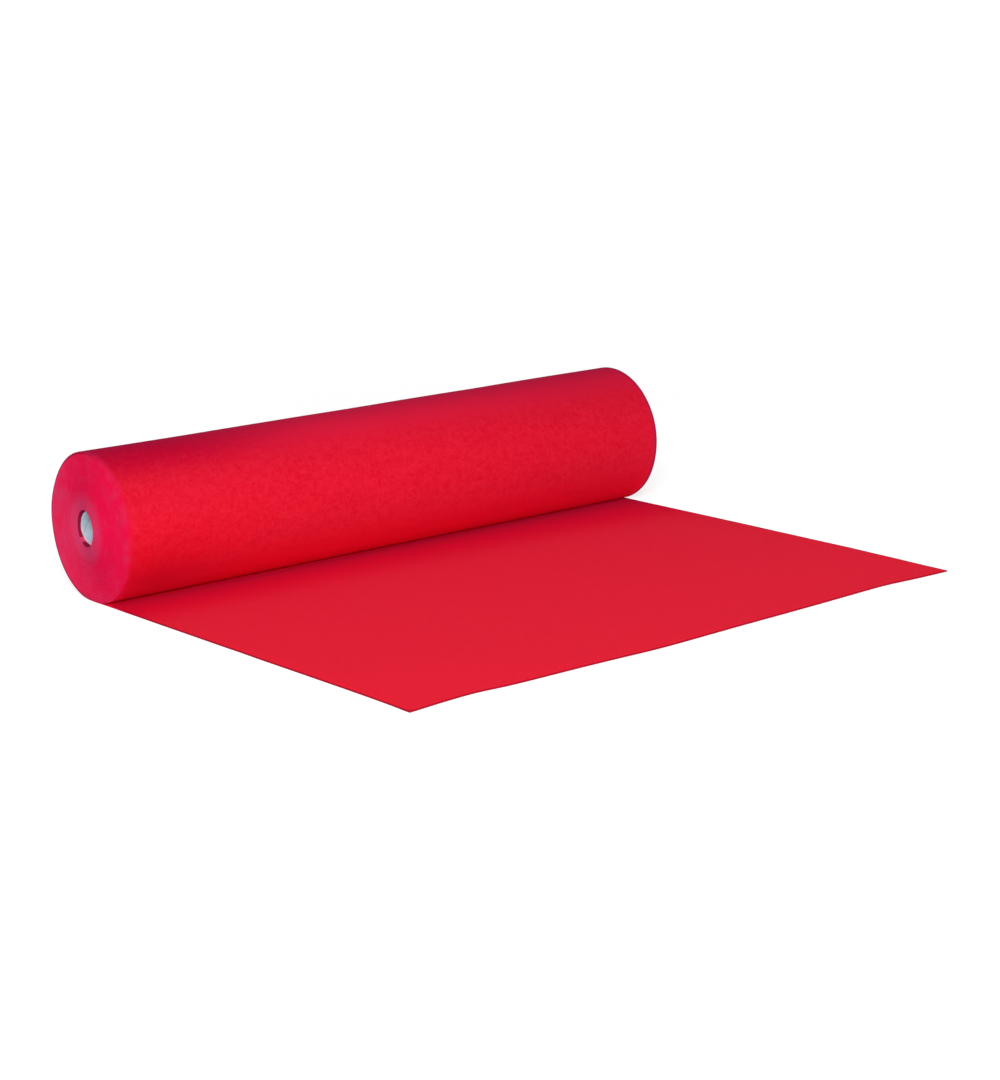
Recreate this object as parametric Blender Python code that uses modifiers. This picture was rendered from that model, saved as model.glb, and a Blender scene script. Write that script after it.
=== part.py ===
"""Roll of red felt wound on a board tube, its loose end laid out flat on the floor.

Metres, +Z up. The roll's axis runs along X and the loose end points to -Y. The origin lies on the
floor, at the middle of the felt's plan.
"""

import math
from collections import namedtuple

import bmesh
import bpy
import numpy as np

EdgeRow = namedtuple("EdgeRow", "across set_back")

# Felt
FELT_WIDTH = 1.000
FELT_THICKNESS = 0.002
ROLL_RADIUS = 0.1085  # where the outer turn leaves the floor; it winds in by one thickness a turn
AXIS_HEIGHT = 0.1075
LOOSE_LENGTH = 0.712  # from under the roll's axis to the cut front edge
SELVEDGE_BOW = 0.0037  # the right selvedge swells outwards halfway along the loose end
FRONT_EDGE = (
    EdgeRow(across=-0.500, set_back=-0.0010),
    EdgeRow(across=-0.430, set_back=0.0040),
    EdgeRow(across=-0.390, set_back=0.0065),
    EdgeRow(across=-0.340, set_back=0.0010),
    EdgeRow(across=-0.290, set_back=-0.0010),
    EdgeRow(across=-0.190, set_back=-0.0040),
    EdgeRow(across=-0.090, set_back=-0.0070),
    EdgeRow(across=0.000, set_back=-0.0050),
    EdgeRow(across=0.100, set_back=-0.0025),
    EdgeRow(across=0.200, set_back=0.0010),
    EdgeRow(across=0.300, set_back=0.0035),
    EdgeRow(across=0.375, set_back=0.0060),
    EdgeRow(across=0.430, set_back=0.0020),
    EdgeRow(across=0.500, set_back=-0.0005),
)

# Sag under the roll's own weight: it stands on a flat spot, and bulges beside it
FLAT_HALF_LEFT = 0.023
FLAT_HALF_RIGHT = 0.032
BULGE_SPREAD = 0.70  # radians round the roll in which the bulge dies away

# Turns slipped along the tube: the hub stands proud at the left end and is dished at the right one
HUB_PROUD = 0.0095
HUB_SKEW = 0.0030  # added at the front of the hub, taken off at its back
RIM_SKEW = 0.0045
RIM_PROUD = 0.0025
RIGHT_DISH = 0.0080
RIGHT_RIM_BACK = 0.0015  # the outer turn is drawn in by this much at the roll's top right
EDGE_INSET = 0.0030  # the rim's soft edge, measured along the radius
EDGE_DROP = 0.0015  # the rim's soft edge, measured along the axis

# Board tube
TUBE_RADIUS = 0.0252
TUBE_WALL = 0.0032
TUBE_LENGTH = 0.990
TUBE_LEFT_END = 0.0015  # beyond the felt's left selvedge
CLEARANCE = 0.0003

# Fineness of the faceted surfaces
ROUND_POINTS = 60
LOOSE_STEPS = 8
TUBE_STEPS = 48
SMOOTH_ANGLE = math.radians(35)

RED = (0.745, 0.010, 0.028, 1.0)
PALE_GREY = (0.480, 0.500, 0.530, 1.0)


def clear_scene():
    for old in list(bpy.data.objects):
        bpy.data.objects.remove(old, do_unlink=True)


def new_collection(name):
    collection = bpy.data.collections.new(name)
    bpy.context.scene.collection.children.link(collection)
    return collection


def plain_material(name, colour, roughness):
    material = bpy.data.materials.new(name)
    material.use_nodes = True
    shader = material.node_tree.nodes["Principled BSDF"]
    shader.inputs["Base Color"].default_value = colour
    shader.inputs["Roughness"].default_value = roughness
    shader.inputs["Metallic"].default_value = 0.0
    return material


def bulge(angle):
    """How much of the bulge is left at an angle from straight down, from 1 to almost 0."""
    return np.exp(-((angle / BULGE_SPREAD) ** 2))


def wound_radius(angle):
    """Spiral of the outer turn: it shrinks by one thickness in a full turn."""
    return ROLL_RADIUS - FELT_THICKNESS * angle / (2 * math.pi)


def roll_outline(flat_half):
    """Outside of the roll in section, as angles from straight down and distances from the axis.

    The angle runs from the front of the flat spot, under the roll, up its back, over the top and down
    its front to the crease. Beside the flat spot a bulge is added to the spiral, which makes the outline
    meet the floor at the back, and the top of the loose end in front.
    """
    inner_height = AXIS_HEIGHT - FELT_THICKNESS
    back = math.atan2(flat_half, AXIS_HEIGHT)
    crease = 2 * math.pi - math.atan2(flat_half, inner_height)
    angle = np.linspace(-back, crease, ROUND_POINTS)
    radius = wound_radius(angle)
    back_rise = AXIS_HEIGHT / math.cos(back) - wound_radius(back)
    front_rise = inner_height / math.cos(crease) - wound_radius(crease)
    radius += back_rise / bulge(back) * bulge(angle)
    radius += front_rise / bulge(crease - 2 * math.pi) * bulge(angle - 2 * math.pi)
    on_floor = angle <= back
    radius[on_floor] = AXIS_HEIGHT / np.cos(angle[on_floor])
    return angle, radius


def rim_proud(angle):
    """How far the outer turn passes the left selvedge line: in front more than at the back."""
    return RIM_PROUD * np.sin(angle) ** 2 - RIM_SKEW * np.sin(angle)


def left_end(angle, share):
    """X of the left end face. The share of the way from bore to rim blends the hub into the rim."""
    hub = HUB_PROUD - HUB_SKEW * np.sin(angle)
    return -FELT_WIDTH / 2 - (1 - share) * hub - share * rim_proud(angle)


def right_end(angle, share):
    """X of the right end face, which is dished in at the hub."""
    rim = RIGHT_RIM_BACK * (1 - np.cos(angle)) / 2
    return FELT_WIDTH / 2 - (1 - share) * RIGHT_DISH - share * rim


def station_loop(row):
    """Closed outline of one section of the felt, as rows of Y and Z.

    First the top of the loose end from the crease to the cut edge, then its underside back to the roll,
    and then the roll's outline. Each section has the same number of points, so the sections loft.
    """
    along = (row.across + FELT_WIDTH / 2) / FELT_WIDTH
    flat_half = FLAT_HALF_LEFT + along * (FLAT_HALF_RIGHT - FLAT_HALF_LEFT)
    front = -LOOSE_LENGTH + row.set_back
    reach = np.linspace(-flat_half, front, LOOSE_STEPS + 1)
    angle, radius = roll_outline(flat_half)
    roll_y = radius * np.sin(angle)
    roll_z = AXIS_HEIGHT - radius * np.cos(angle)
    on_floor = angle <= -angle[0]
    roll_z[on_floor] = 0.0
    y = np.concatenate([reach[1:], reach[:0:-1], roll_y])
    z = np.concatenate([np.full(LOOSE_STEPS, FELT_THICKNESS), np.zeros(LOOSE_STEPS), roll_z])
    return y, z


def end_lines():
    """X of both ends of every lengthwise line of the felt's outside, in the order of a section's points."""
    steps = np.arange(1, LOOSE_STEPS + 1) / LOOSE_STEPS
    swell = SELVEDGE_BOW * np.sin(math.pi * steps)
    straight = np.full(LOOSE_STEPS, -FELT_WIDTH / 2)
    bowed = FELT_WIDTH / 2 + swell
    angle = roll_outline((FLAT_HALF_LEFT + FLAT_HALF_RIGHT) / 2)[0]
    left = np.concatenate([straight, straight, left_end(angle, 1.0)])
    right = np.concatenate([bowed, bowed[::-1], right_end(angle, 1.0)])
    return left, right


def felt_points():
    """Points of the felt: its outside by section, then for each end the rim's inner ring and the bore."""
    left, right = end_lines()
    outside = []
    for row in FRONT_EDGE:
        along = (row.across + FELT_WIDTH / 2) / FELT_WIDTH
        y, z = station_loop(row)
        outside.append(np.column_stack([left + along * (right - left), y, z]))

    bore_radius = (TUBE_RADIUS + CLEARANCE) / math.cos(math.pi / ROUND_POINTS)
    rings = []
    for section, end_x in ((outside[0], left_end), (outside[-1], right_end)):
        rim = section[2 * LOOSE_STEPS:]
        first = math.atan2(rim[0, 1], AXIS_HEIGHT - rim[0, 2])
        angle = first + 2 * math.pi * np.arange(ROUND_POINTS) / ROUND_POINTS
        bore_y = bore_radius * np.sin(angle)
        bore_z = AXIS_HEIGHT - bore_radius * np.cos(angle)
        depth = np.hypot(rim[:, 1] - bore_y, rim[:, 2] - bore_z)
        share = 1 - EDGE_INSET / depth
        inset_y = bore_y + share * (rim[:, 1] - bore_y)
        inset_z = bore_z + share * (rim[:, 2] - bore_z)
        outwards = math.copysign(EDGE_DROP, section[0, 0])
        rings.append(np.column_stack([end_x(angle, share) + outwards, inset_y, inset_z]))
        rings.append(np.column_stack([end_x(angle, 0.0), bore_y, bore_z]))
    return outside, rings


def bridge(mesh, first, second, closed):
    """Quads between two rows of vertices, round to the start again where the rows are closed."""
    count = len(first)
    for start in range(count if closed else count - 1):
        end = (start + 1) % count
        mesh.faces.new((first[start], first[end], second[end], second[start]))


def build_felt(collection):
    """The wound form with its bore, one solid with the loose end: a loft between unlike sections."""
    outside, rings = felt_points()
    everything = np.concatenate(outside + rings)
    middle = (everything.min(axis=0) + everything.max(axis=0)) / 2
    shift = np.array([-middle[0], -middle[1], 0.0])

    mesh = bmesh.new()
    loops = [[mesh.verts.new(point + shift) for point in section] for section in outside]
    left_ring, left_bore, right_ring, right_bore = (
        [mesh.verts.new(point + shift) for point in ring] for ring in rings
    )
    for near, far in zip(loops, loops[1:]):
        bridge(mesh, near, far, closed=True)
    for loop, ring, bore in ((loops[0], left_ring, left_bore), (loops[-1], right_ring, right_bore)):
        rim = loop[2 * LOOSE_STEPS:]
        upper = [rim[-1]] + loop[:LOOSE_STEPS]
        lower = [rim[0]] + loop[2 * LOOSE_STEPS - 1:LOOSE_STEPS - 1:-1]
        bridge(mesh, rim, ring, closed=True)
        bridge(mesh, ring, bore, closed=True)
        bridge(mesh, upper, lower, closed=False)
    bridge(mesh, left_bore, right_bore, closed=True)
    bmesh.ops.recalc_face_normals(mesh, faces=mesh.faces)

    data = bpy.data.meshes.new("felt")
    mesh.to_mesh(data)
    mesh.free()
    data.shade_smooth()
    data.set_sharp_from_angle(angle=SMOOTH_ANGLE)
    data.materials.append(plain_material("red_felt", RED, 0.95))
    collection.objects.link(bpy.data.objects.new("felt", data))
    return shift


def build_tube(collection, shift):
    """A straight-walled tube: its wall's rectangle, turned about the roll's axis."""
    profile = bmesh.new()
    inner = TUBE_RADIUS - TUBE_WALL
    corners = [(TUBE_RADIUS, TUBE_LENGTH), (TUBE_RADIUS, 0.0), (inner, 0.0), (inner, TUBE_LENGTH)]
    ring = [profile.verts.new((radius, 0.0, height)) for radius, height in corners]
    for start, end in zip(ring, ring[1:] + ring[:1]):
        profile.edges.new((start, end))
    data = bpy.data.meshes.new("core_tube")
    profile.to_mesh(data)
    profile.free()
    data.materials.append(plain_material("board", PALE_GREY, 0.80))

    tube = bpy.data.objects.new("core_tube", data)
    tube.location = (shift[0] - FELT_WIDTH / 2 - TUBE_LEFT_END, shift[1], AXIS_HEIGHT)
    tube.rotation_euler = (0.0, math.radians(90), 0.0)
    collection.objects.link(tube)

    turn = tube.modifiers.new("Turn", "SCREW")
    turn.axis = "Z"
    turn.steps = TUBE_STEPS
    turn.render_steps = TUBE_STEPS
    turn.use_merge_vertices = True
    turn.merge_threshold = 0.00001
    turn.use_smooth_shade = False


def main():
    clear_scene()
    collection = new_collection("felt_roll")
    shift = build_felt(collection)
    build_tube(collection, shift)


main()
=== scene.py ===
"""Looks of a roll of red felt on a board tube, with its loose end laid out in front."""

import math
from collections import namedtuple

import bpy
import numpy as np
from mathutils import Matrix, Vector


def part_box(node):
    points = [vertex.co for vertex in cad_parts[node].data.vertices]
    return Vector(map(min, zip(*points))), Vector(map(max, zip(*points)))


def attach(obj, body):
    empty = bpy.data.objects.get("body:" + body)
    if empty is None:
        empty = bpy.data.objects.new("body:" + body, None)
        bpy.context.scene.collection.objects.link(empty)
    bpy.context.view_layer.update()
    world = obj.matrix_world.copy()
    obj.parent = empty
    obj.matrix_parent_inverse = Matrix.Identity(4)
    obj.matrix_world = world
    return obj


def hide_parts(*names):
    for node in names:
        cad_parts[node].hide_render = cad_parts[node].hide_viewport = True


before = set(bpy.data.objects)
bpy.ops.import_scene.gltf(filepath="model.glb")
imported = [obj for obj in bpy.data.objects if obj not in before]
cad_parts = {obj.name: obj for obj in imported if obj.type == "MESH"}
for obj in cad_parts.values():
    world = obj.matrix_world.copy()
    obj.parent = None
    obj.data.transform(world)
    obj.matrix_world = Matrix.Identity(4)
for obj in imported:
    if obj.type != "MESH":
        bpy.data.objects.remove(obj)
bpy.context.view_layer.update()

EdgeRow = namedtuple("EdgeRow", "across set_back")
Wave = namedtuple("Wave", "share across along shift bend bend_across", defaults=(0.0,) * 5)
TURN = 2 * math.pi

# Where the roll is, from the board tube's box, and how far the tube stands out past the felt at the left
TUBE_LOW, TUBE_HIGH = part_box("core_tube")
AXIS_Y = (TUBE_LOW.y + TUBE_HIGH.y) / 2
AXIS_HEIGHT = (TUBE_LOW.z + TUBE_HIGH.z) / 2
TUBE_RADIUS = (TUBE_HIGH.z - TUBE_LOW.z) / 2
TUBE_STANDS_OUT = 0.0015

# The cloth, in metres
FELT_WIDTH = 1.000
LEFT_X = TUBE_LOW.x + TUBE_STANDS_OUT
RIGHT_X = LEFT_X + FELT_WIDTH
PLY = 0.00194
ROLL_RADIUS = 0.1085
BORE = TUBE_RADIUS + 0.0003
TURNS = 41.12
LOOSE_LENGTH = 0.712

# Outline of the loose end: its bowed right selvedge, its flared left corner and its hand-cut front edge
SELVEDGE_BOW = 0.0037
BOW_LENGTH = LOOSE_LENGTH / 1.04
CORNER_FLARE = 0.0030
CORNER_REACH = 0.030
EDGE_EASE = 0.018
WANDER_EASE = 0.030
FRONT_EDGE = (
    EdgeRow(across=-0.500, set_back=-0.0030),
    EdgeRow(across=-0.465, set_back=0.0010),
    EdgeRow(across=-0.430, set_back=0.0040),
    EdgeRow(across=-0.390, set_back=0.0065),
    EdgeRow(across=-0.340, set_back=0.0010),
    EdgeRow(across=-0.290, set_back=-0.0010),
    EdgeRow(across=-0.190, set_back=-0.0040),
    EdgeRow(across=-0.090, set_back=-0.0070),
    EdgeRow(across=0.000, set_back=-0.0050),
    EdgeRow(across=0.100, set_back=-0.0025),
    EdgeRow(across=0.200, set_back=0.0010),
    EdgeRow(across=0.300, set_back=0.0035),
    EdgeRow(across=0.375, set_back=0.0060),
    EdgeRow(across=0.430, set_back=0.0020),
    EdgeRow(across=0.500, set_back=-0.0005),
)

# Sag of the roll on the floor, and the least cosine by which its reach to the floor is divided
FLAT_HALF_LEFT = 0.023
FLAT_HALF_RIGHT = 0.032
BULGE_SPREAD = 0.70
SOFT_BLEND = 0.0013
SHARPEST_BLEND = 0.1
LEAST_COSINE = 0.2
BACK_SAG = 0.0026
BACK_SAG_ANGLE = 0.78
FRONT_SAG = 0.0016
FRONT_SAG_ANGLE = -0.85
SAG_SPREAD = 0.42

# Turns slipped along the tube
HUB_PROUD = 0.0095
HUB_SKEW = 0.0042
HUB_SWELL = 0.11
PROUD_TURNS_RADIUS = 0.052
PROUD_TURNS_WIDTH = 0.0032
PROUD_TURNS = 0.0005
RIM_SKEW = 0.0045
RIM_PROUD = 0.0025
RIGHT_DISH = 0.0080
RIGHT_RIM_BACK = 0.0015
EDGE_DEPTH = 0.0030
EDGE_DROP = 0.0026

# Slack of the first turn, between two angles wound in
SLACK = 0.00022
SLACK_LEVEL = 1.6
SLACK_START = 0.5
SLACK_END = TURN - 0.4
SLACK_EASE = 0.6
SLACK_WAVES = (
    Wave(share=0.7, across=9.0, along=2.6, bend=1.5, bend_across=7.0),
    Wave(share=0.5, across=21.0, along=-4.1, shift=1.0),
    Wave(share=0.4, across=13.0, along=5.0, bend=2.0, bend_across=17.0),
)

# Ripple of the loose end, by the share of its length out from the roll, and curl of its front edge
RIPPLE = 0.0007
RIPPLE_LEVEL = 0.5
RIPPLE_START = 0.22
RIPPLE_EASE = 0.5
RIPPLE_WAVES = (
    Wave(share=0.25, across=11.0, along=5.0),
    Wave(share=0.25, across=-6.0, along=17.0, shift=1.0),
)
EDGE_CURL = 0.0003
CURL_REACH = 0.05
CURL_WAVES = (Wave(share=1.0, across=23.0, shift=1.0),)

# Cut edges are rounded over this depth, at these angles from the tip to the flat face
CUT_DEPTH = 0.0005
CUT_ANGLES = np.radians([20, 50, 75, 90])
CUT_STEPS = len(CUT_ANGLES)

# The board tube: its wall, wound of plies that show as fine steps on its rims, which have some wear
TUBE_WALL = 0.0032
TUBE_SIDES = 160
TUBE_PLIES = 8
TUBE_END_ROUND = 0.0004
TUBE_PLY_STEP = 0.00012
TUBE_WEAR = 0.00025
WEAR_WAVES = (
    Wave(share=1.0, along=3.0, shift=0.7),
    Wave(share=0.5, along=8.0),
    Wave(share=0.4, along=17.0, shift=2.0),
)

# Loose fibres: their form, how many grow where and how long, and how far they keep from the cloth's corners
# and from under the roll
HAIR_RADIUS = 0.000032
HAIR_SUNK = 0.0001
HAIR_STEPS = np.array([0.0, 0.35, 0.7, 1.0])
HAIR_TAPER = 0.8
HAIR_BEND = (0.4, 1.9)
HAIR_MARGIN = 0.002
HAIRS_START = 0.03
LEFT_END_HAIRS = 2600
RIGHT_END_HAIRS = 1700
LEFT_SELVEDGE_HAIRS = 500
RIGHT_SELVEDGE_HAIRS = 700
FRONT_HAIRS = 800
BARREL_HAIRS = 1700
END_HAIR = 0.0026
EDGE_HAIR = 0.0024
BARREL_HAIR = 0.0030
EDGE_HEIGHTS = (0.3 * PLY, 0.9 * PLY)
BARREL_ANGLES = (0.5, TURN * 0.97)

# Fineness of the meshes
ACROSS_STEPS = 100
LOOSE_ROWS = 96
OUTER_ROWS_A_TURN = 120
INNER_ROWS_A_TURN = 72
OUTER_END = TURN + 0.25

# Bake maps: a square's corners in the order of a face's, the side of a baked image, the height of each
# half's band and the place and height of its row of caps, the share of a hidden row, the middles of the
# two discs at the left and right ends, their scale, and the top of the hidden faces' cells
SQUARE = np.array([(0.0, 0.0), (1.0, 0.0), (1.0, 1.0), (0.0, 1.0)])
BAKED_PIXELS = 1024
BAND_HEIGHT = 0.488
CAP_ROW = 0.492
CAP_HEIGHT = 0.005
HIDDEN_ROW = 0.12
LEFT_DISC = (0.25, 0.745)
RIGHT_DISC = (0.75, 0.745)
DISC_SCALE = 4.1 * ROLL_RADIUS
HIDDEN_TOP = 0.48

# A hair's cell on its bake map, in shares of the cell: one face of its side, its cap, and where the caps go
HAIR_SIDE = (0.26, 0.32)
HAIR_CAP = (0.18, 0.4)
HAIR_CAP_PLACE = (0.8, 0.0)

# Camera of the photograph, placed from the floor under the roll's axis at its left end
CAMERA_FROM_LEFT = -1.8018
CAMERA_FROM_AXIS = -2.9887
CAMERA_HEIGHT = 0.9067
CAMERA_YAW = math.radians(40.54)
CAMERA_PITCH = math.radians(13.467)
CAMERA_ROLL = math.radians(-0.761)
CAMERA_FOCAL = 2521.0
CAMERA_REACH = 200.0
PHOTO_HEIGHT = 1080
SENSOR = 36.0


def smooth_noise(along, spacing, size, seed):
    """Seeded wander along a length: random knots a spacing apart, joined by an eased curve."""
    knots = np.random.default_rng(seed).uniform(-size, size, int(along.max() / spacing) + 3)
    place = along / spacing
    first = np.floor(place).astype(int)
    part = place - first
    ease = part * part * (3 - 2 * part)
    return knots[first] * (1 - ease) + knots[first + 1] * ease


def waves(rows, across, along):
    """Sum of sine waves that run across and along, each by its share. A bend makes one wander across."""
    return sum(
        row.share * np.sin(row.across * across + row.along * along + row.shift
                           + row.bend * np.sin(row.bend_across * across))
        for row in rows
    )


def set_back(across):
    """How far the cut front edge lies behind its straight line, eased between the table's rows."""
    place = np.array([row.across for row in FRONT_EDGE]) + FELT_WIDTH / 2
    depth = np.array([row.set_back for row in FRONT_EDGE])
    spread = np.linspace(-EDGE_EASE, EDGE_EASE, 7)
    return np.mean([np.interp(across + step, place, depth) for step in spread], axis=0)


def envelope(angle, across):
    """Distance from the roll's axis to its outside, by the angle from straight down.

    It is the nearer of the floor's plane and a circle with a bulge beside the flat spot, which sags more
    at the back, and in front towards the right end. The two are blended so that the cloth lifts off the
    floor in a curve.
    """
    down = np.arctan2(np.sin(angle), np.cos(angle))
    flat_half = FLAT_HALF_LEFT + across / FELT_WIDTH * (FLAT_HALF_RIGHT - FLAT_HALF_LEFT)
    edge = np.arctan2(flat_half, AXIS_HEIGHT)
    rise = AXIS_HEIGHT / np.cos(edge) - ROLL_RADIUS
    rounded = ROLL_RADIUS + rise * np.exp((edge**2 - down**2) / BULGE_SPREAD**2)
    rounded = rounded + BACK_SAG * np.exp(-(((down - BACK_SAG_ANGLE) / SAG_SPREAD) ** 2))
    front_sag = FRONT_SAG * across / FELT_WIDTH
    rounded = rounded + front_sag * np.exp(-(((down - FRONT_SAG_ANGLE) / SAG_SPREAD) ** 2))
    floor = AXIS_HEIGHT / np.maximum(np.cos(down), LEAST_COSINE)
    from_middle = np.minimum(np.abs(down) / edge, 1.0)
    soft = SOFT_BLEND * (SHARPEST_BLEND + (1 - SHARPEST_BLEND) * from_middle**2)
    return -soft * np.logaddexp(-floor / soft, -rounded / soft)


def share_out(wound):
    """Share of the way from the bore to the outside at which a turn lies: 1 for the first."""
    return 1 - wound / (TURN * (TURNS + 1))


def wound_path(wound, across):
    """Y and Z of the cloth's middle at an angle wound in, a spiral squeezed into the envelope."""
    outer = BORE + (envelope(wound, across) - BORE) * share_out(wound)
    middle = outer - PLY / 2
    return AXIS_Y + middle * np.sin(wound), AXIS_HEIGHT - middle * np.cos(wound)


def slipped_left(wound):
    """X of the left edge of the turns: hub proud of the rim, and both more so in front.

    The slope between them is steepest halfway, and a few turns stand out as a low ring.
    """
    share = share_out(wound)
    hub = HUB_PROUD - HUB_SKEW * np.sin(wound)
    rim = RIM_PROUD * np.sin(wound) ** 2 - RIM_SKEW * np.sin(wound)
    ring = (BORE + share * (ROLL_RADIUS - BORE) - PROUD_TURNS_RADIUS) / PROUD_TURNS_WIDTH
    inward = 1 - share + HUB_SWELL * np.sin(TURN * share)
    proud = inward * hub + (1 - inward) * (rim + soft_rim(share)) + PROUD_TURNS * np.exp(-ring**2)
    return LEFT_X - proud


def slipped_right(wound):
    """X of the right edge of the turns: dished in at the hub."""
    share = share_out(wound)
    rim = RIGHT_RIM_BACK * (1 - np.cos(wound)) / 2
    return RIGHT_X - (1 - share) * RIGHT_DISH - share * (rim - soft_rim(share))


def soft_rim(share):
    """How much further out the turns just inside the rim reach than the first one."""
    depth = (1 - share) * (ROLL_RADIUS - BORE)
    return EDGE_DROP * (1 - np.exp(-depth / EDGE_DEPTH))


def section_half(steps):
    """One face of the cloth's section from selvedge to selvedge.

    Returns for each point its share of the width, its inset from the selvedge and its height as a share
    of half the ply.
    """
    inner = np.linspace(0, 1, steps + 1)[1:-1]
    rounding = CUT_DEPTH * (1 - np.cos(CUT_ANGLES))
    lift = np.sin(CUT_ANGLES)
    share = np.concatenate([np.zeros(CUT_STEPS), inner, np.ones(CUT_STEPS)])
    inset = np.concatenate([rounding, np.zeros(len(inner)), -rounding[::-1]])
    height = np.concatenate([lift, np.ones(len(inner)), lift[::-1]])
    return share, inset, height


def strip_faces(rows, half):
    """Quads round a closed strip: between neighbouring rows, and across both ends."""
    loop = 2 * half
    here = np.arange(loop)
    after = np.roll(here, -1)
    start = np.arange(rows - 1)[:, None] * loop
    sides = np.stack([start + here, start + loop + here, start + loop + after, start + after], -1)
    first = np.arange(half - 1)
    cap = np.stack([first, first + 1, loop - 2 - first, loop - 1 - first], -1)
    return np.concatenate([sides.reshape(-1, 4), cap, cap[:, ::-1] + (rows - 1) * loop])


def spaced(steps):
    """Places from 0 to 1 along a line of such steps, each drawn out to two pixels of a baked image."""
    steps = np.maximum(steps, steps.sum() * 2 / BAKED_PIXELS)
    return np.concatenate([[0.0], np.cumsum(steps)]) / steps.sum()


def cells(count, low, high):
    """Lower corners, and the size, of count equal cells that fill a rectangle on a map."""
    columns = math.ceil(math.sqrt(count))
    size = (np.array(high) - low) / (columns, math.ceil(count / columns))
    number = np.arange(count)
    return low + np.stack([number % columns, number // columns], -1) * size, size


def outer_map(points, faces):
    """Bake map of the outer turn: a band for each face of the cloth, unrolled, narrow where hidden."""
    rows, loop = points.shape[:2]
    half = loop // 2
    middle = points[:, half // 2]
    lengths = np.hypot(np.diff(middle[:, 1]), np.diff(middle[:, 2]))
    across = spaced(np.abs(np.diff(points[0, :half + 1, 0])))
    laid = np.arange(rows - 1) < LOOSE_ROWS + CUT_STEPS
    bands, caps = [], []
    for low, shown in ((0.0, ~laid), (0.5, laid)):
        along = low + BAND_HEIGHT * spaced(lengths * np.where(shown, 1.0, HIDDEN_ROW))
        lines = np.stack(np.meshgrid(across, along), -1)
        bands.append(np.stack([lines[:-1, :-1], lines[1:, :-1], lines[1:, 1:], lines[:-1, 1:]], -2))
        cap_low = np.stack([np.arange(half - 1) / (half - 1), np.full(half - 1, low + CAP_ROW)], -1)
        caps.append(cap_low[:, None] + SQUARE * (1 / (half - 1), CAP_HEIGHT))
    sides = np.concatenate(bands, axis=1).reshape(-1, 4, 2)
    return np.concatenate([sides, *caps])


def inner_map(points, faces):
    """Bake map of the inner turns: each cut end as the disc that shows, each hidden face in a cell."""
    corners = points.reshape(-1, 3)[faces]
    at_right = corners[..., 0].mean(axis=1) > (LEFT_X + RIGHT_X) / 2
    middle = np.where(at_right[:, None, None], RIGHT_DISC, LEFT_DISC)
    places = middle + (corners[..., 1:] - (AXIS_Y, AXIS_HEIGHT)) / DISC_SCALE
    hidden = np.ptp(corners[..., 0], axis=1) > FELT_WIDTH / 2
    low, size = cells(hidden.sum(), (0.0, 0.0), (1.0, HIDDEN_TOP))
    places[hidden] = low[:, None] + SQUARE * size
    return places


def new_piece(name, points, faces, maps=(), **attributes):
    """A mesh object at the origin from points and groups of faces, with UV maps and point values.

    Each map is a name and a place for every corner of every face.
    """
    mesh = bpy.data.meshes.new(name)
    corners = [face for group in faces for face in group.tolist()]
    mesh.from_pydata(points.reshape(-1, 3).tolist(), [], corners)
    for key, places in maps:
        layer = mesh.uv_layers.new(name=key)
        layer.data.foreach_set("uv", places.astype(np.float32).ravel())
    for key, values in attributes.items():
        attribute = mesh.attributes.new(key, "FLOAT", "POINT")
        attribute.data.foreach_set("value", values.astype(np.float32).ravel())
    mesh.shade_smooth()
    mesh.update()
    piece = bpy.data.objects.new(name, mesh)
    bpy.context.scene.collection.objects.link(piece)
    return piece


def cloth_strip(name, y, z, left, right, along, half, row_height, from_front, bake_map):
    """A strip of felt: its section carried along the path y, z, which may differ across the width.

    Each point of the section is moved off the path along the path's own normal, by half the ply times
    the section's and the row's height. The point value edge is the distance to the nearest cut edge, and
    inside is 1 on the face that the roll turns inwards.
    """
    share, inset, height = half
    count = len(share)
    slope_y = np.gradient(y, axis=0)
    slope_z = np.gradient(z, axis=0)
    length = np.hypot(slope_y, slope_z)
    lift = PLY / 2 * height * row_height[:, None]
    x = left[:, None] + share * (right - left)[:, None] + inset
    sides = []
    for sign, order in ((1, slice(None)), (-1, slice(None, None, -1))):
        side_y = y + sign * lift * slope_z / length
        side_z = z - sign * lift * slope_y / length
        sides.append(np.stack([x, side_y, side_z], -1)[:, order])
    points = np.concatenate(sides, axis=1)
    faces = strip_faces(len(y), count)
    to_selvedge = np.minimum(points[..., 0] - left[:, None], right[:, None] - points[..., 0])
    edge = np.minimum(to_selvedge, from_front[:, None])
    inside = np.broadcast_to(np.repeat([0.0, 1.0], count), edge.shape)
    cloth = np.stack(np.broadcast_arrays(points[..., 0], along[:, None]), -1).reshape(-1, 2)
    maps = (("cloth", cloth[faces]), ("OFBake", bake_map(points, faces)))
    return new_piece(name, points, [faces], maps, edge=edge, inside=inside)


def path_length(y, z):
    """Length run along a path, from 0 at its start."""
    return np.concatenate([[0.0], np.cumsum(np.hypot(np.diff(y), np.diff(z)))])


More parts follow.
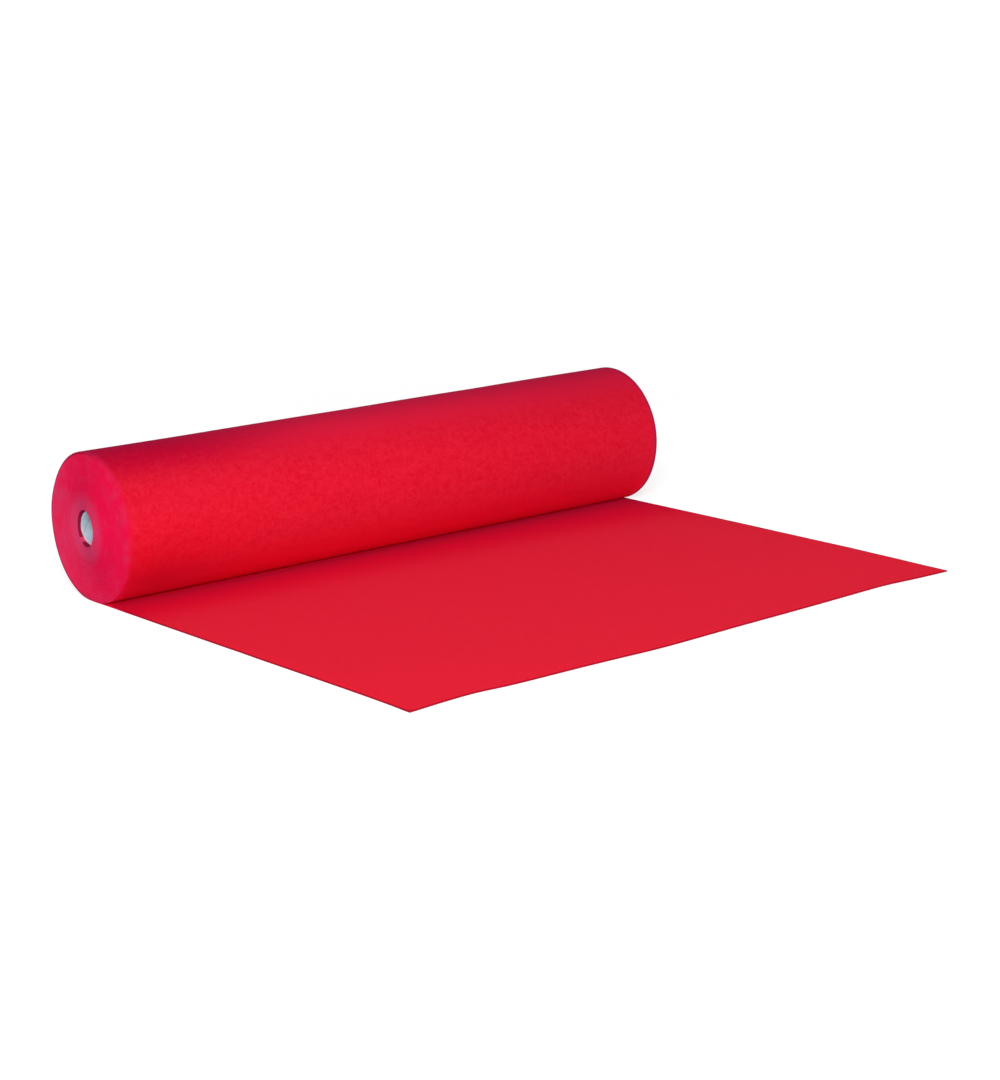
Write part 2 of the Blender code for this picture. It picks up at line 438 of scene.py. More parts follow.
def outer_turn():
    """The loose end from its cut front edge to the roll, and the first turn round the roll."""
    half = section_half(ACROSS_STEPS)
    across = half[0] * FELT_WIDTH
    rounding = CUT_DEPTH * (1 - np.cos(CUT_ANGLES))
    laid = np.concatenate([np.zeros(CUT_STEPS), np.linspace(0, 1, LOOSE_ROWS)[1:]])
    inset = np.concatenate([rounding, np.full(LOOSE_ROWS - 1, CUT_DEPTH)])
    front = -LOOSE_LENGTH + set_back(across)
    loose_y = AXIS_Y + front + laid[:, None] * -front + (inset * (1 - laid))[:, None]
    loose_z = PLY / 2 + ripple((AXIS_Y - loose_y) / LOOSE_LENGTH, across)

    rows = int(OUTER_ROWS_A_TURN * OUTER_END / TURN)
    wound = np.linspace(0, OUTER_END, rows)[1:]
    round_y, round_z = wound_path(wound[:, None], across)
    off = slack(wound[:, None], across)
    round_y = round_y + off * np.sin(wound)[:, None]
    round_z = round_z - off * np.cos(wound)[:, None]
    y = np.concatenate([loose_y, round_y])
    z = np.concatenate([loose_z, round_z])
    along = path_length(y[:, len(across) // 2], z[:, len(across) // 2])

    from_cut = laid * LOOSE_LENGTH
    ragged = np.minimum(along / WANDER_EASE, 1.0)
    left = np.concatenate([LEFT_X - flare(from_cut), slipped_left(wound)])
    right = np.concatenate([RIGHT_X + bow(from_cut), slipped_right(wound)])
    left = left + ragged * smooth_noise(along, spacing=0.045, size=0.0003, seed=3)
    right = right + ragged * smooth_noise(along, spacing=0.050, size=0.0003, seed=4)
    row_height = np.ones(len(y))
    row_height[:CUT_STEPS] = np.sin(CUT_ANGLES)
    from_front = along + np.where(along > CUT_DEPTH, 0, rounding[0])
    return cloth_strip("felt_outer_turn", y, z, left, right, along, half, row_height, from_front, outer_map)


def slack(wound, across):
    """How far the first turn stands off the next one: long crossed waves, none where it meets the floor."""
    free = np.clip(np.minimum(wound - SLACK_START, SLACK_END - wound) / SLACK_EASE, 0, 1)
    return SLACK * free * (SLACK_LEVEL + waves(SLACK_WAVES, across, wound))


def bow(from_front):
    """How far the right selvedge of the loose end swells out: half a sine wave."""
    return SELVEDGE_BOW * np.sin(math.pi * np.minimum(from_front / BOW_LENGTH, 1.0))


def flare(from_front):
    """How far the left selvedge swings out by the cut front edge: half a bell curve."""
    return CORNER_FLARE * np.exp(-((from_front / CORNER_REACH) ** 2))


def ripple(out, across):
    """How far the loose end lies off the floor, by its share out from the roll and across it.

    Crossed sine waves, none next to the roll, and a slight curl of the cut edge.
    """
    free = np.clip((out - RIPPLE_START) / RIPPLE_EASE, 0, 1) ** 2
    curl = np.exp(-(((1 - out) / CURL_REACH) ** 2)) * (1 + waves(CURL_WAVES, across, out))
    return RIPPLE * free * (RIPPLE_LEVEL + waves(RIPPLE_WAVES, across, out)) + EDGE_CURL * curl


def inner_turns():
    """The turns under the first one, down to the felt's inner end at the bore."""
    half = section_half(1)
    across = half[0] * FELT_WIDTH
    rows = int(INNER_ROWS_A_TURN * (TURNS - OUTER_END / TURN))
    wound = np.linspace(OUTER_END, TURN * TURNS, rows)
    y, z = wound_path(wound[:, None], across)
    along = path_length(y[:, 0], z[:, 0])
    left = slipped_left(wound) + smooth_noise(along, spacing=0.37, size=0.0004, seed=7)
    left = left + smooth_noise(along, spacing=0.022, size=0.00015, seed=8)
    right = slipped_right(wound) + smooth_noise(along, spacing=0.41, size=0.0004, seed=9)
    right = right + smooth_noise(along, spacing=0.024, size=0.00015, seed=10)
    level = np.ones(rows)
    return cloth_strip("felt_inner_turns", y, z, left, right, along, half, level, level, inner_map)


def board_tube():
    """The board tube: the outline of its wall turned about the roll's axis, with slight wear on its rims."""
    inner = TUBE_RADIUS - TUBE_WALL
    steps = np.arange(TUBE_PLIES * 2 + 1)
    shares = steps / steps[-1]
    rim_radius = inner + TUBE_WALL * shares
    rim_depth = TUBE_END_ROUND * np.abs(2 * shares - 1) ** 6 + TUBE_PLY_STEP * (steps % 2)
    radius = np.concatenate([rim_radius, rim_radius[::-1]])
    end = np.repeat([0.0, 1.0], len(shares))
    depth = np.concatenate([rim_depth, rim_depth[::-1]])
    angle = np.linspace(0, TURN, TUBE_SIDES, endpoint=False)
    wear_and_painted_light = TUBE_WEAR * waves(WEAR_WAVES, 0.0, angle)
    length = TUBE_HIGH.x - TUBE_LOW.x
    x = TUBE_LOW.x + end * length + (1 - 2 * end) * (depth + TUBE_END_ROUND + wear_and_painted_light[:, None])
    y = AXIS_Y + radius * np.sin(angle)[:, None]
    z = AXIS_HEIGHT - radius * np.cos(angle)[:, None]
    points = np.stack([x, y, z], -1)
    count = len(radius)
    here = np.arange(count)
    after = np.roll(here, -1)
    start = np.arange(TUBE_SIDES)[:, None] * count
    following = np.roll(np.arange(TUBE_SIDES), -1)[:, None] * count
    faces = np.stack([start + here, following + here, following + after, start + after], -1)
    return new_piece("board_tube", points, [faces.reshape(-1, 4)])


def fibres(name, roots, normals, lengths, random):
    """Fine hairs: three-sided tapered tubes that leave their roots along a normal and curl over.

    A hair's middle line is its root plus the normal times the cosine and a side vector times the sine of
    an angle that grows along it. It lies no lower than the floor.
    """
    count = len(roots)
    side = random.normal(size=(count, 3))
    side -= (side * normals).sum(1, keepdims=True) * normals
    side /= np.linalg.norm(side, axis=1, keepdims=True)
    bend = random.uniform(*HAIR_BEND, count)[:, None] * HAIR_STEPS
    reach = lengths[:, None] * HAIR_STEPS
    spine = roots[:, None] + reach[..., None] * (
        normals[:, None] * np.cos(bend)[..., None] + side[:, None] * np.sin(bend)[..., None]
    )
    spine[..., 2] = np.maximum(spine[..., 2], HAIR_RADIUS * 1.5)
    binormal = np.cross(normals, side)
    thick = HAIR_RADIUS * (1 - HAIR_TAPER * HAIR_STEPS)
    corner = np.arange(3) * TURN / 3
    ring = np.cos(corner)[:, None] * side[:, None] + np.sin(corner)[:, None] * binormal[:, None]
    points = spine[:, :, None] + thick[:, None, None] * ring[:, None]
    rings = len(HAIR_STEPS)
    here = np.arange(3)
    after = np.roll(here, -1)
    low = np.arange(count)[:, None, None] * rings * 3 + np.arange(rings - 1)[:, None] * 3
    quads = np.stack([low + here, low + after, low + 3 + after, low + 3 + here], -1).reshape(-1, 4)
    first = np.arange(count)[:, None] * rings * 3
    caps = np.concatenate([first + here[::-1], first + (rings - 1) * 3 + here])
    return new_piece(name, points, [quads, caps], (("OFBake", hair_map(count, rings)),))


def hair_map(count, rings):
    """Bake map of the hairs: a cell for each, with its sides as a grid and its two caps beside them."""
    low, size = cells(count, (0.0, 0.0), (1.0, 1.0))
    square = np.stack(np.meshgrid(np.arange(3), np.arange(rings - 1)), -1)[:, :, None] + SQUARE
    sides = low[:, None, None, None] + square * size * HAIR_SIDE
    caps = low[:, None] + (SQUARE[:3] * HAIR_CAP + HAIR_CAP_PLACE) * size
    return np.concatenate([sides.reshape(-1, 2), caps.reshape(-1, 2), caps.reshape(-1, 2)])


def unit(vectors):
    """Vectors of length 1."""
    return vectors / np.linalg.norm(vectors, axis=1, keepdims=True)


def fuzz():
    """Loose fibres: on both cut ends of the roll, along the laid-out edges, and sparse on the barrel."""
    random = np.random.default_rng(21)
    roots, normals, lengths = [], [], []

    def grow(x, y, z, normal, longest, tilt):
        """Hairs at the roots x, y, z, most of them short, along a normal that each tilts at random."""
        count = len(x)
        normal = np.broadcast_to(np.stack(np.broadcast_arrays(*normal), -1), (count, 3))
        roots.append(np.stack([x, y, z], -1))
        normals.append(unit(normal + random.normal(0, tilt, (count, 3))))
        lengths.append(longest * random.uniform(0.25, 1.0, count) ** 1.5)

    # More of them on the outer turns, which are longer
    for count, slipped, outward in ((LEFT_END_HAIRS, slipped_left, -1), (RIGHT_END_HAIRS, slipped_right, 1)):
        wound = TURN * TURNS * (1 - random.uniform(0, 1, count) ** 0.6)
        y, z = wound_path(wound, 0.0 if outward < 0 else FELT_WIDTH)
        away = random.uniform(-PLY / 2, PLY / 2, count)
        y = y + away * np.sin(wound)
        z = z - away * np.cos(wound)
        grow(slipped(wound) - outward * HAIR_SUNK, y, z, (outward, 0, 0), END_HAIR, tilt=0.45)

    selvedges = ((LEFT_SELVEDGE_HAIRS, LEFT_X, flare, -1), (RIGHT_SELVEDGE_HAIRS, RIGHT_X, bow, 1))
    for count, side, swing, outward in selvedges:
        y = AXIS_Y - random.uniform(HAIRS_START, LOOSE_LENGTH - HAIR_MARGIN, count)
        x = side + outward * (swing(y - AXIS_Y + LOOSE_LENGTH) - HAIR_SUNK * 3)
        grow(x, y, random.uniform(*EDGE_HEIGHTS, count), (outward, 0, 0.2), EDGE_HAIR, tilt=0.35)

    across = random.uniform(HAIR_MARGIN, FELT_WIDTH - HAIR_MARGIN, FRONT_HAIRS)
    y = AXIS_Y - LOOSE_LENGTH + set_back(across) + HAIR_SUNK * 2
    grow(LEFT_X + across, y, random.uniform(*EDGE_HEIGHTS, FRONT_HAIRS), (0, -1, 0.2), EDGE_HAIR, tilt=0.35)

    across = random.uniform(HAIR_MARGIN * 2, FELT_WIDTH - HAIR_MARGIN * 2, BARREL_HAIRS)
    wound = random.uniform(*BARREL_ANGLES, BARREL_HAIRS)
    y, z = wound_path(wound, across)
    out_y, out_z = np.sin(wound), -np.cos(wound)
    lift = PLY / 2 - HAIR_SUNK + slack(wound, across)
    grow(LEFT_X + across, y + lift * out_y, z + lift * out_z, (0, out_y, out_z), BARREL_HAIR, tilt=0.8)

    every = [np.concatenate(group) for group in (roots, normals, lengths)]
    return fibres("felt_fibres", *every, random)


class Value:
    """A shader socket that Python arithmetic can use. Each operation adds one Math node."""

    def __init__(self, graph, socket):
        self.graph = graph
        self.socket = socket

    def __add__(self, other):
        return self.graph.math("ADD", self, other)

    def __sub__(self, other):
        return self.graph.math("SUBTRACT", self, other)

    def __rsub__(self, other):
        return self.graph.math("SUBTRACT", other, self)

    def __mul__(self, other):
        return self.graph.math("MULTIPLY", self, other)

    def __pow__(self, other):
        return self.graph.math("POWER", self, other)

    __radd__ = __add__
    __rmul__ = __mul__


class Graph:
    """The node tree of one material or of the surround."""

    def __init__(self, owner):
        owner.use_nodes = True
        self.owner = owner
        self.tree = owner.node_tree
        self.tree.nodes.clear()

    def node(self, kind, settings, inputs, output=0):
        """Adds a node, sets its settings, then the values or links of its sockets."""
        made = self.tree.nodes.new(kind)
        for key, value in settings.items():
            setattr(made, key, value)
        for key, value in inputs.items():
            if isinstance(value, Value):
                self.tree.links.new(value.socket, made.inputs[key])
            else:
                made.inputs[key].default_value = value
        return Value(self, made.outputs[output])

    def math(self, operation, first, second=0.0):
        return self.node("ShaderNodeMath", {"operation": operation}, {0: first, 1: second})

    def size(self, value):
        """A value without its sign."""
        return self.math("ABSOLUTE", value)

    def vector(self, operation, first, second):
        return self.node("ShaderNodeVectorMath", {"operation": operation}, {0: first, 1: second})

    def place(self):
        """Where a point lies in the object, in metres."""
        return self.node("ShaderNodeTexCoord", {}, {}, output="Object")

    def split(self, vector):
        """A vector's three parts."""
        parts = self.node("ShaderNodeSeparateXYZ", {}, {"Vector": vector}).socket.node
        return [Value(self, socket) for socket in parts.outputs]

    def value(self, name):
        """A point value of the mesh."""
        return self.node("ShaderNodeAttribute", {"attribute_name": name}, {}, output="Fac")

    def noise(self, vector, scale, detail=2.0, roughness=0.5, distortion=0.0):
        inputs = {"Vector": vector, "Scale": scale, "Detail": detail, "Roughness": roughness,
                  "Distortion": distortion}
        return self.node("ShaderNodeTexNoise", {}, inputs)

    def strands(self, vector, turn, width, length):
        """Noise drawn out into fibres of a width and length, turned about Z."""
        turned = self.node("ShaderNodeVectorRotate", {"rotation_type": "Z_AXIS"},
                           {"Vector": vector, "Angle": turn})
        drawn = self.vector("MULTIPLY", turned, (1 / length, 1 / width, 1.0))
        return self.noise(drawn, scale=1.0, detail=2.0, roughness=0.6, distortion=0.9)

    def above(self, value, low, high):
        """0 below low, 1 above high, eased between."""
        return self.node("ShaderNodeMapRange", {"interpolation_type": "SMOOTHSTEP"},
                         {"Value": value, "From Min": low, "From Max": high})

    def below(self, value, low, high):
        """1 below low, 0 above high, eased between."""
        return 1 - self.above(value, low, high)

    def mix(self, factor, first, second):
        """Two colours blended. Sockets 6 and 7 are the colour inputs of a Mix node."""
        colours = {0: factor, 6: first, 7: second}
        return self.node("ShaderNodeMix", {"data_type": "RGBA"}, colours, output=2)

    def bump(self, height, strength, distance):
        inputs = {"Height": height, "Strength": strength, "Distance": distance}
        return self.node("ShaderNodeBump", {}, inputs)

    def finish(self, kind, output, **inputs):
        """The last shader, linked to the output, and the finished material or surround."""
        named = {key.replace("_", " "): value for key, value in inputs.items()}
        shader = self.node(kind, {}, named)
        self.tree.links.new(shader.socket, self.tree.nodes.new(output).inputs["Surface"])
        return self.owner

    def surface(self, **inputs):
        return self.finish("ShaderNodeBsdfPrincipled", "ShaderNodeOutputMaterial", **inputs)


# Colours of the felt: barrel, face turned in, bore, and cut fibres, and the light and shade painted on them
OUTER_RED = (0.585, 0.0105, 0.0285, 1.0)
OUTER_DEEP = (0.513, 0.0025, 0.0140, 1.0)
# Painted sheen on the barrel's top, and painted shade on it by the left rim
CROWN_SHEEN_RED = (0.640, 0.0100, 0.0400, 1.0)
CROWN_SHADE_RED = (0.450, 0.0004, 0.0220, 1.0)
# Painted red bounce light low on the barrel, and painted shade there by the left rim
LOW_BOUNCE_RED = (0.770, 0.0002, 0.0085, 1.0)
LOW_SHADE_RED = (0.490, 0.0002, 0.0050, 1.0)
# Painted light along the barrel's bottom by the crease
LIP_LIGHT_RED = (0.980, 0.0004, 0.0100, 1.0)
INNER_RED = (0.975, 0.0175, 0.0285, 1.0)
INNER_DEEP = (0.930, 0.0150, 0.0240, 1.0)
# Painted shade: the deep red band by the crease, and the darkest red, also used towards the barrel's right
# end
CREASE_SHADE_RED = (0.975, 0.0004, 0.0120, 1.0)
PAINTED_SHADE_RED = (0.150, 0.0004, 0.0060, 1.0)
# Painted shade in the bore
BORE_SHADE_RED = (0.070, 0.0110, 0.0400, 1.0)
FRAYED_PINK = (0.900, 0.0900, 0.2200, 1.0)
CUT_CRIMSON = (0.550, 0.0030, 0.0400, 1.0)
# Pale cut fibres, also the painted sheen on the roll's end behind
CUT_PALE = (0.440, 0.0310, 0.0920, 1.0)
# Painted light on the cut ends high up and low down
CUT_LIT_RED = (0.660, 0.0060, 0.0460, 1.0)
# Painted shade on the laid-out cut edges and beside them
CUT_SHADE_RED = (0.300, 0.0030, 0.0160, 1.0)
# Painted shade on the roll's outermost turns at the back and along the barrel's right rim
RIM_SHADE_RED = (0.250, 0.0100, 0.0420, 1.0)
SHEEN_TINT = (1.0, 0.15, 0.90, 1.0)
GLOSS_TINT = (1.0, 0.55, 1.0, 1.0)

# Bands of the barrel's colours and of its painted light and shade: across the roll from its left rim, and
# up from its axis
LEFT_PART = (0.04, 0.26)
CROWN_LEFT_PART = (0.08, 0.42)
RIGHT_PART = (0.40, 1.0)
RIGHT_RIM = (0.9915, 0.9965)
CROWN = (0.066, 0.105)
LOW_DOWN = (-0.095, -0.020)
LOW_AT_LEFT = (-0.075, 0.030)
LIP = (-0.106, -0.060)

# Bands of the roll's end, by the distance from its axis: the pale hub, the rim's painted highlight, the last
# turns and the loose end. Then the way back where a painted sheen pales it and painted shade darkens its
# last turns, and the height of its tint of painted light.
HUB = (0.036, 0.058)
RIM = (0.088, 0.106)
LAST_TURNS = (0.1030, 0.1070)
LAID_OUT = (0.118, 0.135)
PALE_BEHIND = (-0.030, 0.085)
DARK_BEHIND = (-0.045, 0.030)
HIGH_AND_LOW = (0.030, 0.090)

# Bands along the cut edges, by the distance from the edge: the cut itself, the line of painted shade
# beside it on the loose end, and the fringe of cut fibres on the barrel
CUT = (0.0002, 0.0005)
SHADE_BESIDE_CUT = (0.0006, 0.0036)
BLED = (0.0010, 0.0110)

# Painted shade on the loose end next to the crease: where it starts, its share there, the length over
# which it fades, the part at the left where it is weaker, its deep red band of painted shade, and how much
# further it reaches at the right end
CREASE_FRONT = 0.045
CREASE_DARK = 0.66
CREASE_LENGTH = 0.095
CREASE_LEFT_PART = (-0.05, 0.22)
CREASE_RED = (0.075, 0.185)
CREASE_SPREAD = 0.045

# The cloth's inner end at the bore, where its cut fibres show pale: its middle and reach as angles
INNER_END = TURN * (TURNS % 1)
INNER_END_REACH = 0.22


def cut_colour(g, place, back, up, radius):
    """Cut fibres: crimson on the roll's end, paler round the hub, with painted sheen behind and painted
    shade where laid out.

    A painted highlight pales the rim, painted light makes them brighter high up and low down, and painted
    shade darkens the outermost turns at the back. Returns the colour and the fine grain of the fibres.
    """
    patches = g.noise(place, scale=52.0, detail=4.0, roughness=0.68) - 0.5
    grain = g.noise(place, scale=800.0, detail=3.0, roughness=0.65)
    hub = g.below(radius + patches * 0.034, *HUB)
    rim = g.above(radius + patches * 0.010, *RIM)
    # Painted sheen pales the way back, and a painted highlight the rim
    behind = g.above(back * 0.88 - up * 0.40, *PALE_BEHIND)
    paleness_and_painted_sheen = hub * 0.65 + behind * 0.55 + rim * 0.20
    wear_and_painted_light = g.mix(paleness_and_painted_sheen + patches * 1.5 + (grain - 0.5) * 0.6, CUT_CRIMSON, CUT_PALE)
    # Painted light high up and low down
    wear_and_painted_light = g.mix(g.above(g.size(up), *HIGH_AND_LOW) * 0.38, wear_and_painted_light, CUT_LIT_RED)
    # Painted shade on the outermost turns at the back, and on the loose end's cut ends
    dark = g.above(radius, *LAST_TURNS) * g.above(back, *DARK_BEHIND) * 0.75
    return g.mix(g.above(radius, *LAID_OUT), g.mix(dark, wear_and_painted_light, RIM_SHADE_RED), CUT_SHADE_RED), grain


def barrel_colour(g, tone, across, up):
    """The face turned out, with painted light and shade: painted shade makes it darker towards the right.

    Low down it has a purer red of painted bounce light, and painted shade that reaches higher by the left
    rim; along its bottom edge by the crease, painted light. Its top has painted shade in deep crimson by the
    left rim, and a painted sheen a little paler and bluer from there on.
    """
    at_left = g.below(across, *LEFT_PART)
    crown = g.mix(g.below(across, *CROWN_LEFT_PART), CROWN_SHEEN_RED, CROWN_SHADE_RED)
    outer = g.mix(tone, OUTER_DEEP, OUTER_RED)
    # Painted shade on the top by the left rim, and painted sheen on it further on
    outer = g.mix(g.above(up, *CROWN) * (1 - tone * 0.35), outer, crown)
    # Painted red bounce light low down, and painted shade there by the left rim
    low = g.math("MAXIMUM", g.below(up, *LOW_DOWN), g.below(up, *LOW_AT_LEFT) * at_left)
    outer = g.mix(low * 0.82, outer, g.mix(at_left, LOW_BOUNCE_RED, LOW_SHADE_RED))
    # Painted shade towards the right end
    outer = g.mix(g.above(across, *RIGHT_PART) * 0.13, outer, PAINTED_SHADE_RED)
    # Painted light along the bottom edge by the crease
    return g.mix(g.below(up, *LIP) * (0.9 - at_left * 0.3), outer, LIP_LIGHT_RED)


def bore_colour(g, back, up):
    """The innermost turn's inner face: dark with painted shade, but paler at the cloth's cut end."""
    turned = g.math("ARCTAN2", back, up * -1) - INNER_END
    beyond = g.below(g.size(turned), INNER_END_REACH / 2, INNER_END_REACH)
    return g.mix(beyond, BORE_SHADE_RED, FRAYED_PINK)


def creased(g, back, across, inner):
    """The face turned in, with painted shade where it dips under the roll, by an exponential of the
    distance.
    """
    reach = across**3 * CREASE_SPREAD
    out = g.math("MINIMUM", back + CREASE_FRONT + reach * 0.4, 0.0)
    share = CREASE_DARK * (0.87 + g.above(across, *CREASE_LEFT_PART) * 0.13)
    near = g.math("EXPONENT", out * (1 / CREASE_LENGTH)) * share
    visible = g.below(back, -CREASE_FRONT, -CREASE_FRONT * 0.65)
    deep = g.above(back + reach, -CREASE_RED[1], -CREASE_RED[0])
    return g.mix(near * visible, g.mix(deep, inner, CREASE_SHADE_RED), PAINTED_SHADE_RED)


def felt_material():
    """Needled felt: crossing fibres, needle pits and soft mottling, smoother on the face turned in."""
    g = Graph(bpy.data.materials.new("needled_felt"))
    cloth = g.node("ShaderNodeUVMap", {"uv_map": "cloth"}, {})
    inside = g.value("inside")
    edge = g.value("edge")
    outside = 1 - inside

    fibre = g.strands(cloth, turn=0.4, width=0.00042, length=0.0038)
    fibre = g.math("MAXIMUM", fibre, g.strands(cloth, turn=1.5, width=0.00045, length=0.0042))
    fibre = g.math("MAXIMUM", fibre, g.strands(cloth, turn=2.6, width=0.00040, length=0.0036))
    mottle = g.noise(cloth, scale=210.0, detail=3.0, roughness=0.62, distortion=0.5)
    blotches = g.noise(cloth, scale=85.0, detail=2.0, roughness=0.5, distortion=0.4) - 0.5
    clouds = g.noise(cloth, scale=14.0, detail=3.0, roughness=0.55)
    curls = g.noise(cloth, scale=130.0, detail=2.0, roughness=0.5, distortion=1.2) - 0.5
    veins = g.below(g.size(curls), 0.006, 0.045)
    pricks = g.node("ShaderNodeTexVoronoi", {}, {"Vector": cloth, "Scale": 430.0, "Randomness": 0.95})
    pits = g.below(pricks, 0.10, 0.34)

    tone = g.above(fibre, 0.45, 0.78) * 0.30 + (mottle - 0.5) * 1.7 + blotches * 1.3 + 0.57
    pressed = veins * g.above(clouds, 0.42, 0.60) * 0.35 + pits * 0.22
    inner = g.mix(tone - pits * 0.3, INNER_DEEP, INNER_RED)

    place = g.place()
    across, back, up = g.split(g.vector("SUBTRACT", place, (LEFT_X, AXIS_Y, AXIS_HEIGHT)))
    radius = (back * back + up * up) ** 0.5
    bore = g.below(radius, BORE + PLY * 1.2, BORE + PLY * 1.5)
    # The face turned in, with painted shade in the bore and along the crease
    turned_in = g.mix(bore, creased(g, back, across, inner), bore_colour(g, back, up))
    faces = g.mix(inside, barrel_colour(g, tone - pressed, across, up), turned_in)
    cut, grain = cut_colour(g, place, back, up, radius)
    rim = g.below(edge, *CUT)
    # Painted shade beside the cut on the loose end
    shaded_beside_cut = g.mix(g.below(edge, *SHADE_BESIDE_CUT) * 0.5 * inside, faces, CUT_SHADE_RED)
    bled = g.mix(g.below(edge + blotches * 0.006, *BLED) * outside * 0.8, shaded_beside_cut, cut)
    # Painted shade along the barrel's right rim
    right_rim_shade = g.mix(g.above(across, *RIGHT_RIM) * outside * 0.7, bled, RIM_SHADE_RED)
    colour = g.mix(rim, right_rim_shade, cut)

    height = fibre * 0.5 + mottle * 0.5 - pits * 0.3 - veins * 0.25 + grain * rim * 0.9
    return g.surface(Base_Color=colour, Roughness=0.84 + mottle * 0.14,
                     Normal=g.bump(height, strength=0.5, distance=0.0008),
                     Sheen_Weight=0.035, Sheen_Roughness=0.5, Sheen_Tint=SHEEN_TINT,
                     Specular_IOR_Level=0.01, Specular_Tint=GLOSS_TINT)


# Colours of the board, of its seam and its painted shade, the run of its seam along the tube in one turn,
# and the depth of its cut end
BOARD_PALE = (0.330, 0.400, 0.480, 1.0)
BOARD_GREY = (0.240, 0.290, 0.340, 1.0)
BOARD_EDGE = (0.580, 0.380, 0.470, 1.0)
BOARD_SEAM_AND_SHADE = (0.150, 0.160, 0.190, 1.0)
SEAM_PITCH = 0.085
BOARD_END = (0.0014, 0.0010)


def board_material():
    """Wound board: pale grey paper with a helical seam and short fibres, fluffier on its cut ends.

    Painted shade makes it darker high up in its bore, and its cut end there.
    """
    g = Graph(bpy.data.materials.new("wound_board"))
    place = g.place()
    along, back, up = g.split(g.vector("SUBTRACT", place, (0.0, AXIS_Y, AXIS_HEIGHT)))
    winding = along * (1 / SEAM_PITCH) + g.math("ARCTAN2", back, up) * (1 / TURN) + 20.0
    seam = g.below(g.size(g.math("FRACT", winding) - 0.5), 0.004, 0.012)
    grain = g.noise(place, scale=700.0, detail=4.0, roughness=0.65, distortion=0.6)
    clouds = g.noise(place, scale=60.0, detail=3.0, roughness=0.6)
    paper = g.mix(g.above(grain * 0.6 + clouds * 0.5, 0.35, 0.75), BOARD_GREY, BOARD_PALE)
    # Painted shade high up in the bore
    shade = g.above(back * 0.5 + up * 0.87, -0.004, 0.020)
    paper = g.mix(seam * 0.5 + shade * 0.30, paper, BOARD_SEAM_AND_SHADE)
    middle = (TUBE_LOW.x + TUBE_HIGH.x) / 2
    reach = (TUBE_HIGH.x - TUBE_LOW.x) / 2
    end = g.above(g.size(along - middle), reach - BOARD_END[0], reach - BOARD_END[1])
    colour = g.mix(end * (0.7 + grain * 0.4) * (1 - shade * 0.8), paper, BOARD_EDGE)
    return g.surface(Base_Color=colour, Roughness=0.62 + grain * 0.2, Specular_IOR_Level=0.3,
                     Normal=g.bump(grain * 0.3 - seam, strength=0.5, distance=0.0004))


def fuzz_material():
    """Loose fibres, some paler than others."""
    g = Graph(bpy.data.materials.new("felt_fibre"))
    shade = g.noise(g.place(), scale=300.0)
    return g.surface(Base_Color=g.mix(g.above(shade, 0.40, 0.75), OUTER_RED, CUT_PALE), Roughness=0.8,
                     Specular_IOR_Level=0.1)


# The floor: half its side, how far it lies under the cloth, its colour, its glow near the roll and far
# off, and between which distances the glow grows
FLOOR_REACH = 90.0
FLOOR_LEVEL = -0.0002
FLOOR_GREY = (0.45, 0.45, 0.45, 1.0)
GLOW_NEAR = (0.74, 0.74, 0.74, 1.0)
GLOW_FAR = (1.0, 1.0, 1.0, 1.0)
GLOW_GROWS = (1.2, 4.5)


def make_floor():
    """A pale floor to the horizon. It glows a little, so that it stays near white under soft light."""
    turns = ((-1, -1), (1, -1), (1, 1), (-1, 1))
    corners = [(x * FLOOR_REACH, y * FLOOR_REACH, FLOOR_LEVEL) for x, y in turns]
    mesh = bpy.data.meshes.new("floor")
    mesh.from_pydata(corners, [], [(0, 1, 2, 3)])
    g = Graph(bpy.data.materials.new("pale_floor"))
    away = g.node("ShaderNodeVectorMath", {"operation": "LENGTH"}, {0: g.place()}, output="Value")
    glow = g.mix(g.above(away, *GLOW_GROWS), GLOW_NEAR, GLOW_FAR)
    mesh.materials.append(g.surface(Base_Color=FLOOR_GREY, Roughness=0.9, Specular_IOR_Level=0.1,
                                    Emission_Color=glow, Emission_Strength=1.0))
    floor = bpy.data.objects.new("floor", mesh)
    bpy.context.scene.collection.objects.link(floor)


# The surround's light at the horizon and overhead, and the heights between which it dims, where the
# horizon is 0 and straight up is 1. The key light aims just above the floor.
HORIZON_LIGHT = 1.0
CEILING_LIGHT = 0.12
DIMS_OVER = (0.0, 0.5)
KEY_AZIMUTH = math.radians(36.0)
KEY_HEIGHT = math.radians(28.0)
KEY_DISTANCE = 9.0
KEY_SIZE = 3.0
KEY_STRENGTH = 3.8
KEY_AIM = Vector((0.0, 0.0, 0.1))


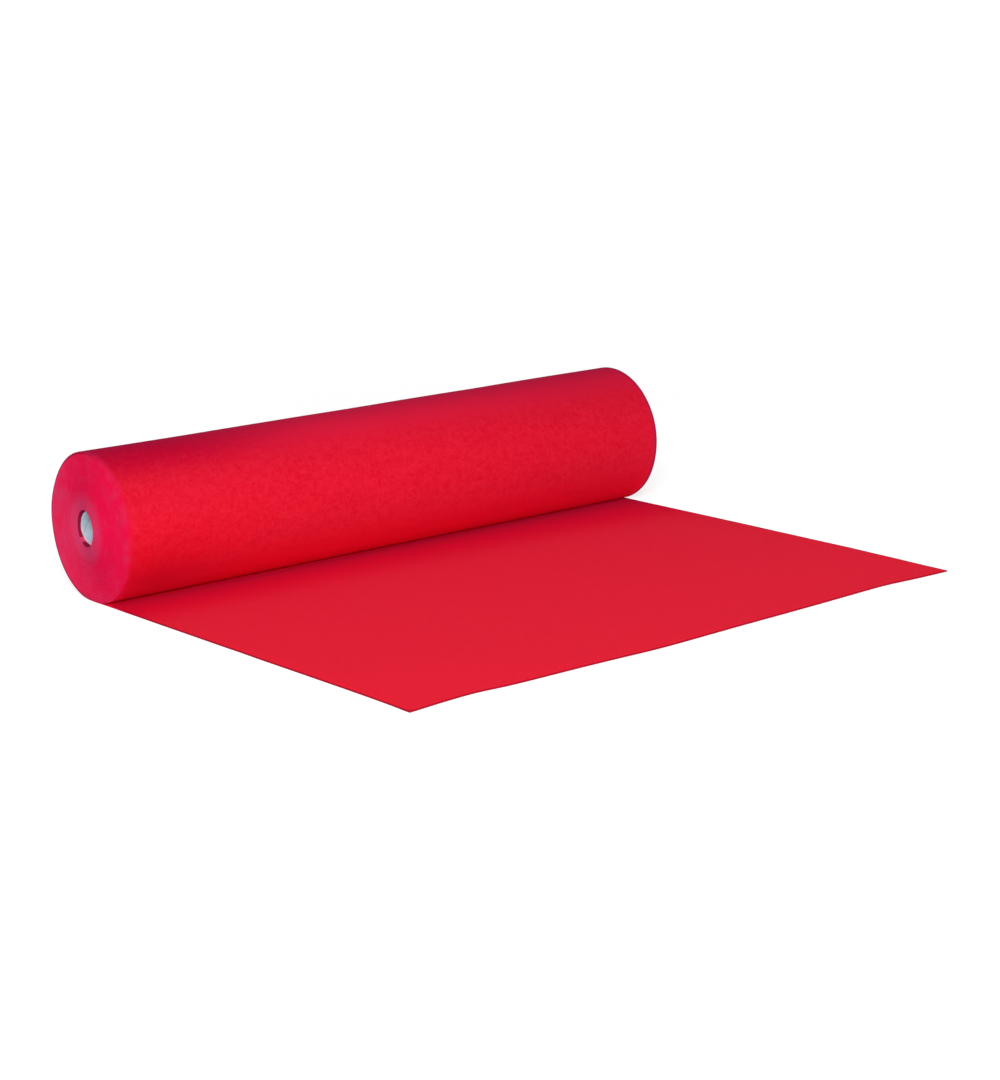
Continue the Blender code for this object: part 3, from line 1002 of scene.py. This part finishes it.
def light_scene():
    """A white surround that dims overhead, and one broad soft light behind the camera and above it."""
    g = Graph(bpy.data.worlds.new("surround"))
    height = g.split(g.node("ShaderNodeTexCoord", {}, {}, output="Generated"))[2]
    strength = HORIZON_LIGHT - g.above(height, *DIMS_OVER) * (HORIZON_LIGHT - CEILING_LIGHT)
    bpy.context.scene.world = g.finish("ShaderNodeBackground", "ShaderNodeOutputWorld",
                                       Color=(1.0, 1.0, 1.0, 1.0), Strength=strength)

    lamp = bpy.data.lights.new("key", "AREA")
    lamp.size = KEY_SIZE
    lamp.energy = KEY_STRENGTH * math.pi * KEY_DISTANCE**2
    key = bpy.data.objects.new("key", lamp)
    level = KEY_DISTANCE * math.cos(KEY_HEIGHT)
    key.location = (LEFT_X - level * math.sin(KEY_AZIMUTH), AXIS_Y - level * math.cos(KEY_AZIMUTH),
                    KEY_DISTANCE * math.sin(KEY_HEIGHT))
    key.rotation_euler = (key.location - KEY_AIM).to_track_quat("Z", "Y").to_euler()
    bpy.context.scene.collection.objects.link(key)
    bpy.context.scene.view_settings.view_transform = "Standard"


def make_camera():
    """The camera of the photograph: turned by yaw, pitched down, and rolled a little."""
    yaw, pitch = CAMERA_YAW, CAMERA_PITCH
    ahead = Vector((math.sin(yaw) * math.cos(pitch), math.cos(yaw) * math.cos(pitch), -math.sin(pitch)))
    level = Vector((math.cos(yaw), -math.sin(yaw), 0.0))
    upright = level.cross(ahead)
    right = level * math.cos(CAMERA_ROLL) + upright * math.sin(CAMERA_ROLL)
    up = upright * math.cos(CAMERA_ROLL) - level * math.sin(CAMERA_ROLL)
    data = bpy.data.cameras.new("camera")
    data.sensor_width = SENSOR
    data.lens = CAMERA_FOCAL * SENSOR / PHOTO_HEIGHT
    data.clip_end = CAMERA_REACH
    camera = bpy.data.objects.new("camera", data)
    place = Vector((LEFT_X + CAMERA_FROM_LEFT, AXIS_Y + CAMERA_FROM_AXIS, CAMERA_HEIGHT))
    turn = Matrix((right, up, -ahead)).transposed().to_4x4()
    camera.matrix_world = Matrix.Translation(place) @ turn
    bpy.context.scene.collection.objects.link(camera)
    bpy.context.scene.camera = camera


def main():
    make_camera()
    light_scene()
    make_floor()

    felt = felt_material()
    outer = outer_turn()
    inner = inner_turns()
    for piece in (outer, inner):
        piece.data.materials.append(felt)
        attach(piece, "root")
        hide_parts("felt")
    hairs = fuzz()
    hairs.data.materials.append(fuzz_material())
    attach(hairs, "root")

    tube = board_tube()
    tube.data.materials.append(board_material())
    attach(tube, "root")
    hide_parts("core_tube")


main()
